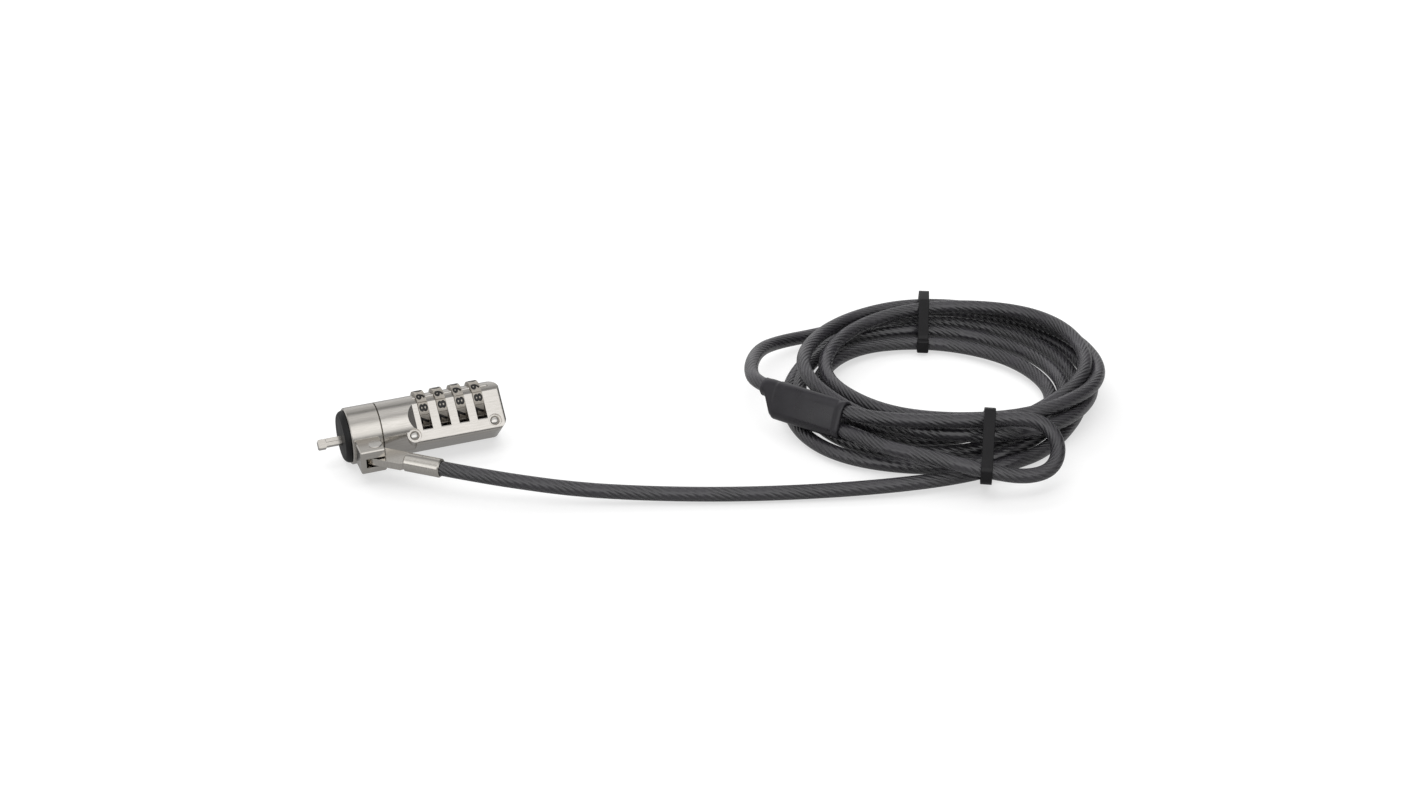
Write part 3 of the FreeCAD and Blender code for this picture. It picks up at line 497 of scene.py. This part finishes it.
# The end loop: the same cable, turned back on itself and caught in the crimp, so that it goes round a
# table leg and the lock head passes through it. It lies over the coil, under the front cable tie.
loop_points = [
    in_sleeve(sleeve_half - sleeve_mouth, strand_offset),
    in_sleeve(sleeve_half + sleeve_run, strand_offset),
    (138.0, -58.8, 14.85),
    (153.4, -65.5, 14.85),
    (168.7, -71.3, 16.05),
    (177.9, -76.7, 15.85),
    (179.8, -83.8, 11.05),
    (174.7, -89.7, 6.85),
    (165.0, -90.5, 6.45),
    (153.6, -85.8, 8.65),
    (141.0, -76.0, 10.55),
    (130.2, -64.0, 9.95),
    in_sleeve(sleeve_half + sleeve_run, -strand_offset),
    in_sleeve(sleeve_half - sleeve_mouth, -strand_offset),
]
loop_line = smooth_line(loop_points, ring_step)
cable_loop = round_tube("cable_end_loop", loop_line, cable_diameter / 2 * millimetre, ring_sides)
cable_loop.data.materials.append(coat)
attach(cable_loop, "cable")
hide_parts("cable_loop")


# The lock body and its back cover: zinc die-castings, polished and plated with satin nickel, warm and
# soft in its mirror. The plating leaves the polishing grain along the barrel.
bevel_samples = 6
grain_strength = 0.5
metal_cloud = 6.0
metal_spread = (0.8, 1.25)


def plated_metal(name, colour, roughness, grain_size, stretch, grain_depth, edge, metal=1.0):
    """A metal skin with a directional grain, uneven gloss and edges softened by the polishing wheel."""
    material, tree, output = new_material(name)
    place = add_node(tree, "ShaderNodeTexCoord")
    turned = add_node(
        tree, "ShaderNodeMapping", {"Vector": place.outputs["Object"], "Scale": [1 / s for s in stretch]}
    )
    grain = add_node(
        tree,
        "ShaderNodeTexNoise",
        {"Vector": turned.outputs[0], "Scale": 1 / (grain_size * millimetre), "Detail": 3.0},
    )
    cloud = add_node(
        tree,
        "ShaderNodeTexNoise",
        {"Vector": place.outputs["Object"], "Scale": 1 / (metal_cloud * millimetre), "Detail": 2.0},
    )
    both = add_node(tree, "ShaderNodeMath", {0: grain.outputs[0], 1: cloud.outputs[0]}, operation="ADD")
    smoothest, roughest = (roughness * share for share in metal_spread)
    gloss = add_node(
        tree, "ShaderNodeMapRange", {0: both.outputs[0], 1: 0.6, 2: 1.4, 3: smoothest, 4: roughest}
    )
    tone = add_node(tree, "ShaderNodeValToRGB", {0: grain.outputs[0]})
    set_ramp(tone, [(0.35, colour[0]), (0.65, colour[1])])
    soft_edge = add_node(tree, "ShaderNodeBevel", {"Radius": edge * millimetre}, samples=bevel_samples)
    bump = add_node(
        tree,
        "ShaderNodeBump",
        {
            "Height": grain.outputs[0],
            "Strength": grain_strength,
            "Distance": grain_depth * millimetre,
            "Normal": soft_edge.outputs[0],
        },
    )
    skin = add_node(
        tree,
        "ShaderNodeBsdfPrincipled",
        {
            "Base Color": tone.outputs[0],
            "Metallic": metal,
            "Roughness": gloss.outputs[0],
            "Normal": bump.outputs[0],
        },
    )
    tree.links.new(skin.outputs[0], output.inputs["Surface"])
    return material


def dress(material, *names):
    """Gives CAD nodes their finish."""
    for name in names:
        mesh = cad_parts[name].data
        mesh.materials.clear()
        mesh.materials.append(material)


nickel = plated_metal("satin_nickel_plate", ("C9C5BF", "D3CFCA"), 0.19, 0.30, (12, 1, 1), 0.004, 0.12)
dress(nickel, "lock_body", "back_cover")

# The rivets that hold the back cover, and the clevis pin that holds the cable: steel, plated, with bright
# domed heads that the setting tool polished.
bright_steel = plated_metal(
    "bright_plated_steel", ("D2CFCA", "DCD9D5"), 0.15, 0.20, (1, 1, 1), 0.003, 0.08
)
dress(bright_steel, "cover_rivets", "clevis_pin")

# The swivel collar with the lug for the cable: one die-casting, plated like the body. The flat of the
# lug is bare. The fitting and its ferrule are turned and milled brass under the same nickel.
collar_nickel = plated_metal(
    "satin_nickel_collar", ("C6C2BC", "D0CCC6"), 0.20, 0.30, (12, 1, 1), 0.004, 0.12
)
dress(collar_nickel, "swivel_collar")
fitting_nickel = plated_metal(
    "turned_brass_in_nickel", ("C9C5BE", "D6D2CC"), 0.18, 0.22, (1, 1, 6), 0.004, 0.10
)
dress(fitting_nickel, "cable_fitting")

# The number dials: zinc rings in dark nickel, each with ten numbers from 0 to 9 pressed in and filled with
# black enamel. They stand with their tops towards the hook, and read 7, 8 and 9 in the window from below.
dial_count = 4
dial_first = 13.875
dial_pitch = 5.8
dial_radius = 6.35
dial_y = 3.2
dial_n = 1.9
digit_count = 10
digit_turn = math.radians(-6.6)
digit_at_turn = 8
digit_height = 2.70
digit_width = 2.45
digit_weight = 0.045
digit_slices = 8
digit_curve_steps = 5
enamel_thickness = 0.06
enamel_grain = 0.25
enamel_relief = 0.01
weld_distance = 1e-6
joint_x = -9.8
axis_y = 3.85
body_radius = 8.8
roll = math.radians(46.0)

dial_nickel = plated_metal(
    "dark_nickel_dial", ("A9A39A", "BCB6AD"), 0.36, 0.25, (8, 1, 1), 0.005, 0.10, 0.7
)
enamel, tree, output = new_material("black_enamel_fill")
place = add_node(tree, "ShaderNodeTexCoord")
orange_peel = add_node(
    tree, "ShaderNodeTexNoise", {"Vector": place.outputs["Object"], "Scale": 1 / (enamel_grain * millimetre)}
)
enamel_tone = add_node(tree, "ShaderNodeValToRGB", {0: orange_peel.outputs[0]})
set_ramp(enamel_tone, [(0.3, "0B0A0A"), (0.7, "151413")])
peel_relief = add_node(
    tree,
    "ShaderNodeBump",
    {"Height": orange_peel.outputs[0], "Strength": 0.4, "Distance": enamel_relief * millimetre},
)
skin = add_node(
    tree,
    "ShaderNodeBsdfPrincipled",
    {
        "Base Color": enamel_tone.outputs[0],
        "Roughness": 0.42,
        "IOR": 1.5,
        "Normal": peel_relief.outputs[0],
    },
)
tree.links.new(skin.outputs[0], output.inputs["Surface"])


def flat_digit(character):
    """A bold figure as a flat mesh, one unit high for an 8, centred on the origin and cut into slices."""
    bpy.ops.object.text_add(location=(0, 0, 0))
    figure = bpy.context.active_object
    figure.data.body = character
    figure.data.offset = digit_weight
    figure.data.resolution_u = digit_curve_steps
    bpy.ops.object.convert(target="MESH")
    figure = bpy.context.active_object
    corners = [vertex.co for vertex in figure.data.vertices]
    low = Vector((min(c.x for c in corners), min(c.y for c in corners), 0))
    high = Vector((max(c.x for c in corners), max(c.y for c in corners), 0))
    centre = (low + high) / 2
    for vertex in figure.data.vertices:
        vertex.co -= centre
    bpy.ops.object.mode_set(mode="EDIT")
    for k in range(1, digit_slices):
        across = (k / digit_slices - 0.5) * (high.x - low.x)
        bpy.ops.mesh.select_all(action="SELECT")
        bpy.ops.mesh.bisect(plane_co=(across, 0, 0), plane_no=(1, 0, 0))
    bpy.ops.object.mode_set(mode="OBJECT")
    return figure, high - low


flat_figures = [flat_digit(str(digit)) for digit in range(digit_count)]
measure = flat_figures[digit_at_turn][1]
for number in range(1, dial_count + 1):
    dial_centre = dial_first + dial_pitch * (number - 1)
    wrapped = []
    for digit, (figure, _) in enumerate(flat_figures):
        middle_turn = digit_turn + 2 * math.pi * (digit - digit_at_turn) / digit_count
        made = figure.copy()
        made.data = figure.data.copy()
        scene.collection.objects.link(made)
        for vertex in made.data.vertices:
            turn = middle_turn + vertex.co.x / measure.x * digit_width / dial_radius
            along = dial_centre - vertex.co.y / measure.y * digit_height
            y = dial_y + dial_radius * math.sin(turn)
            n = dial_n + dial_radius * math.cos(turn)
            vertex.co = millimetre * Vector(
                (
                    joint_x + along,
                    axis_y + y * math.cos(roll) - n * math.sin(roll),
                    body_radius + y * math.sin(roll) + n * math.cos(roll),
                )
            )
        wrapped.append(made)
    bpy.ops.object.select_all(action="DESELECT")
    for made in wrapped:
        made.select_set(True)
    bpy.context.view_layer.objects.active = wrapped[0]
    bpy.ops.object.join()
    digits = bpy.context.active_object
    digits.name = "dial_%d_numbers" % number
    digits.data.materials.clear()
    digits.data.materials.append(enamel)
    bpy.ops.object.mode_set(mode="EDIT")
    bpy.ops.mesh.select_all(action="SELECT")
    bpy.ops.mesh.remove_doubles(threshold=weld_distance)
    bpy.ops.object.mode_set(mode="OBJECT")
    wall = digits.modifiers.new("enamel", "SOLIDIFY")
    wall.thickness = enamel_thickness * millimetre
    wall.offset = 0.0
    bpy.ops.object.modifier_apply(modifier=wall.name)
    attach(digits, "dial_%d" % number)
    dress(dial_nickel, "number_dial_%d" % number)
for figure, _ in flat_figures:
    bpy.data.objects.remove(figure)

# The works inside the head: brass gate rings that turn with the dials, and the hardened spindle, bridge and
# core tube, left as the mill and the lathe made them. The springs are drawn wire and strip.
brass = plated_metal("machined_brass", ("B8964A", "CDAE66"), 0.28, 0.15, (1, 6, 6), 0.006, 0.05)
dress(brass, *["gate_ring_%d" % number for number in range(1, dial_count + 1)])
tool_steel = plated_metal("hardened_tool_steel", ("A3A09B", "B6B3AE"), 0.30, 0.18, (8, 1, 1), 0.006, 0.06)
dress(tool_steel, "code_spindle", "hook_bridge", "core_tube", "nose_plate")
spring_steel = plated_metal("drawn_spring_steel", ("9C9A97", "B2B0AD"), 0.26, 0.10, (4, 1, 1), 0.004, 0.03)
dress(spring_steel, "return_spring", "dial_leaf_spring")

# The hook and the bar beside it: hardened steel, nickel plated, that go through a computer's security slot.
# The button at the other end is a turned cap, pressed on the spindle.
hook_steel = plated_metal("plated_hook_steel", ("B5B1AB", "C6C2BC"), 0.20, 0.20, (6, 1, 1), 0.004, 0.10)
dress(hook_steel, "locking_hook", "blocking_bar")
button_nickel = plated_metal(
    "turned_button_nickel", ("C4C0BA", "D1CDC7"), 0.20, 0.18, (6, 1, 1), 0.004, 0.10
)
dress(button_nickel, "release_button")


# The bumper: a ring of black rubber, moulded in a blasted tool, so that it is matt with a faint grey
# sheen. It presses on the computer's case behind the hook.
moulded_cloud = 4.0
moulded_spread = (0.88, 1.12)


def moulded(name, colours, roughness, grain_size, grain_depth, edge, sheen):
    """A moulded plastic or rubber skin with a spark-eroded grain and slightly uneven gloss."""
    material, tree, output = new_material(name)
    place = add_node(tree, "ShaderNodeTexCoord")
    grain = add_node(
        tree,
        "ShaderNodeTexNoise",
        {"Vector": place.outputs["Object"], "Scale": 1 / (grain_size * millimetre), "Detail": 2.0},
    )
    cloud = add_node(
        tree,
        "ShaderNodeTexNoise",
        {"Vector": place.outputs["Object"], "Scale": 1 / (moulded_cloud * millimetre), "Detail": 2.0},
    )
    tone = add_node(tree, "ShaderNodeValToRGB", {0: cloud.outputs[0]})
    set_ramp(tone, [(0.3, colours[0]), (0.7, colours[1])])
    smoothest, roughest = (roughness * share for share in moulded_spread)
    gloss = add_node(
        tree, "ShaderNodeMapRange", {0: cloud.outputs[0], 1: 0.3, 2: 0.7, 3: smoothest, 4: roughest}
    )
    soft_edge = add_node(tree, "ShaderNodeBevel", {"Radius": edge * millimetre}, samples=bevel_samples)
    bump = add_node(
        tree,
        "ShaderNodeBump",
        {
            "Height": grain.outputs[0],
            "Strength": grain_strength,
            "Distance": grain_depth * millimetre,
            "Normal": soft_edge.outputs[0],
        },
    )
    skin = add_node(
        tree,
        "ShaderNodeBsdfPrincipled",
        {
            "Base Color": tone.outputs[0],
            "Roughness": gloss.outputs[0],
            "IOR": 1.5,
            "Specular IOR Level": sheen,
            "Normal": bump.outputs[0],
        },
    )
    tree.links.new(skin.outputs[0], output.inputs["Surface"])
    return material


rubber = moulded("matt_black_rubber", ("0E0E0F", "151516"), 0.50, 0.20, 0.012, 0.20, 0.35)
dress(rubber, "rubber_bumper")

# The crimp and its cover: an aluminium sleeve pressed over the two strands, with a soft PVC cover moulded
# on, black with a violet cast, satin from its fine-grained tool. A step runs round the cover near one end,
# and a sloping shoulder leads down to a lipped neck at the other.
aluminium = plated_metal("pressed_aluminium", ("B9B9BB", "CBCBCD"), 0.33, 0.20, (3, 1, 1), 0.006, 0.10)
dress(aluminium, "loop_crimp")
corner_steps = 6
sharp_angle = math.radians(50)
crimp_hollow = (5.25, 2.35, 1.75)
strand_hole = 2.35
cover_sections = [
    (-18.5, 2.9, 2.70, 2.70, 2.70),
    (-18.2, 2.9, 2.95, 2.95, 2.95),
    (-16.9, 2.9, 2.95, 2.95, 2.95),
    (-16.0, 2.5, 3.45, 2.95, 2.75),
    (-13.6, 0.35, 5.55, 2.90, 2.70),
    (-12.9, 0.05, 5.80, 2.95, 2.75),
    (-12.4, 0.0, 6.05, 3.15, 2.95),
    (-12.0, 0.0, 6.10, 3.20, 3.00),
    (9.6, 0.0, 6.10, 3.20, 3.00),
    (10.0, 0.0, 5.95, 3.05, 2.85),
    (10.6, 0.0, 5.95, 3.05, 2.85),
    (11.0, 0.0, 6.10, 3.20, 3.00),
    (12.5, 0.0, 6.10, 3.20, 3.00),
    (12.9, 0.0, 5.95, 3.05, 2.85),
    (13.0, 0.0, 5.75, 2.85, 2.65),
    (13.0, 0.0, *crimp_hollow),
    (-11.6, 0.0, *crimp_hollow),
    (-11.6, 2.9, strand_hole, strand_hole, strand_hole),
    (-18.5, 2.9, strand_hole, strand_hole, strand_hole),
]


def rounded_ring(middle, across, upward, half_across, half_up, rounding):
    """The points of a rounded rectangle round a middle point, spread over two directions."""
    ring = []
    for side_sign, up_sign, first in ((1, 1, 0.0), (-1, 1, 0.5), (-1, -1, 1.0), (1, -1, 1.5)):
        for k in range(corner_steps + 1):
            turn = math.pi * (first + k / corner_steps / 2)
            a = side_sign * (half_across - rounding) + rounding * math.cos(turn)
            b = up_sign * (half_up - rounding) + rounding * math.sin(turn)
            ring.append((middle + across * a + upward * b) * millimetre)
    return ring


def ring_body(name, rings):
    """A closed skin through rings of points, from the last ring back to the first."""
    body = bmesh.new()
    made = [[body.verts.new(place) for place in ring] for ring in rings]
    for row, following in zip(made, made[1:] + made[:1]):
        for k in range(len(row)):
            after = (k + 1) % len(row)
            body.faces.new((row[k], row[after], following[after], following[k])).smooth = True
    bmesh.ops.recalc_face_normals(body, faces=body.faces)
    mesh = bpy.data.meshes.new(name)
    body.to_mesh(mesh)
    body.free()
    mesh.set_sharp_from_angle(angle=sharp_angle)
    made = bpy.data.objects.new(name, mesh)
    scene.collection.objects.link(made)
    return made


sleeve_side = sleeve_along.cross(sleeve_up)
cover = ring_body(
    "crimp_cover",
    [
        rounded_ring(in_sleeve(along, up), sleeve_up, sleeve_side, high, deep, rounding)
        for along, up, high, deep, rounding in cover_sections
    ],
)
cover_pvc = moulded("satin_black_pvc", ("1D1B20", "252328"), 0.30, 0.18, 0.010, 0.10, 0.55)
cover.data.materials.append(cover_pvc)
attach(cover, "cable")
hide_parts("sleeve_cover")

# The cable ties: moulded nylon, black and fairly glossy, each strap drawn tight round the strands and through
# its square head. Each lies in an upright plane across the coil.
tie_width = 3.5
tie_thickness = 0.7
tie_bend = 2.0
tie_edge = 0.25
tie_head = (3.9, 4.3, 2.7)
tie_head_edge = 0.5
tie_head_edge_steps = 3
bend_steps = 6
ties = [
    (
        "cable_tie_far",
        Vector((182.2, 14.3, 0)),
        64.0,
        [(12.5, 0.7), (12.5, 7.0), (6.9, 12.8), (0.0, 12.8), (-12.4, 5.3), (-12.4, 0.7)],
        4,
    ),
    (
        "cable_tie_front",
        Vector((160.8, -73.4, 0)),
        -119.0,
        [(5.6, 0.7), (16.4, 5.9), (16.4, 10.3), (-4.7, 18.9), (-17.2, 12.0), (-17.2, 4.6), (-12.2, 0.7)],
        4,
    ),
]
nylon = moulded("black_nylon", ("100F11", "171618"), 0.32, 0.30, 0.008, 0.15, 0.30)


def rounded_outline(corners, radius):
    """A closed outline with an arc in place of each corner, as points with their outward directions."""
    places = [Vector(corner) for corner in corners]
    outline = []
    for i, corner in enumerate(places):
        back = (places[i - 1] - corner).normalized()
        ahead = (places[(i + 1) % len(places)] - corner).normalized()
        half_turn = back.angle(ahead) / 2
        middle = corner + (back + ahead).normalized() * radius / math.sin(half_turn)
        start = corner + back * radius / math.tan(half_turn) - middle
        end = corner + ahead * radius / math.tan(half_turn) - middle
        first = math.atan2(start.y, start.x)
        sweep = (math.atan2(end.y, end.x) - first) % (2 * math.pi)
        for k in range(bend_steps + 1):
            turn = first + sweep * k / bend_steps
            out = Vector((math.cos(turn), math.sin(turn)))
            outline.append((middle + out * radius, out))
    return outline


for name, tie_place, tie_angle, corners, head_corner in ties:
    tie_turn = math.radians(tie_angle - 90)
    tie_across = Vector((math.cos(tie_turn), math.sin(tie_turn), 0))
    tie_level = Vector((-math.sin(tie_turn), math.cos(tie_turn), 0))
    rings = []
    for spot, out in rounded_outline(corners, tie_bend):
        outward = tie_level * out.x + Vector((0, 0, out.y))
        middle = tie_place + tie_level * spot.x + Vector((0, 0, spot.y)) + outward * tie_thickness / 2
        rings.append(rounded_ring(middle, tie_across, outward, tie_width / 2, tie_thickness / 2, tie_edge))
    strap = ring_body(name + "_strap", rings)
    first = Vector(corners[head_corner])
    second = Vector(corners[(head_corner + 1) % len(corners)])
    run = (second - first).normalized()
    out = Vector((run.y, -run.x))
    spot = (first + second) / 2 + out * tie_head[2] / 2
    bpy.ops.mesh.primitive_cube_add(size=1)
    head = bpy.context.active_object
    head_run = tie_level * run.x + Vector((0, 0, run.y))
    head_out = tie_level * out.x + Vector((0, 0, out.y))
    head_middle = tie_place + tie_level * spot.x + Vector((0, 0, spot.y))
    for vertex in head.data.vertices:
        a, b, c = (part * size for part, size in zip(vertex.co, tie_head))
        vertex.co = (head_middle + tie_across * a + head_run * b + head_out * c) * millimetre
    bpy.ops.object.mode_set(mode="EDIT")
    bpy.ops.mesh.select_all(action="SELECT")
    bpy.ops.mesh.bevel(offset=tie_head_edge * millimetre, segments=tie_head_edge_steps)
    bpy.ops.mesh.normals_make_consistent(inside=False)
    bpy.ops.object.mode_set(mode="OBJECT")
    strap.select_set(True)
    bpy.context.view_layer.objects.active = strap
    bpy.ops.object.join()
    strap.data.materials.append(nylon)
    bpy.ops.object.select_all(action="DESELECT")
    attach(strap, "cable")
    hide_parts(name)
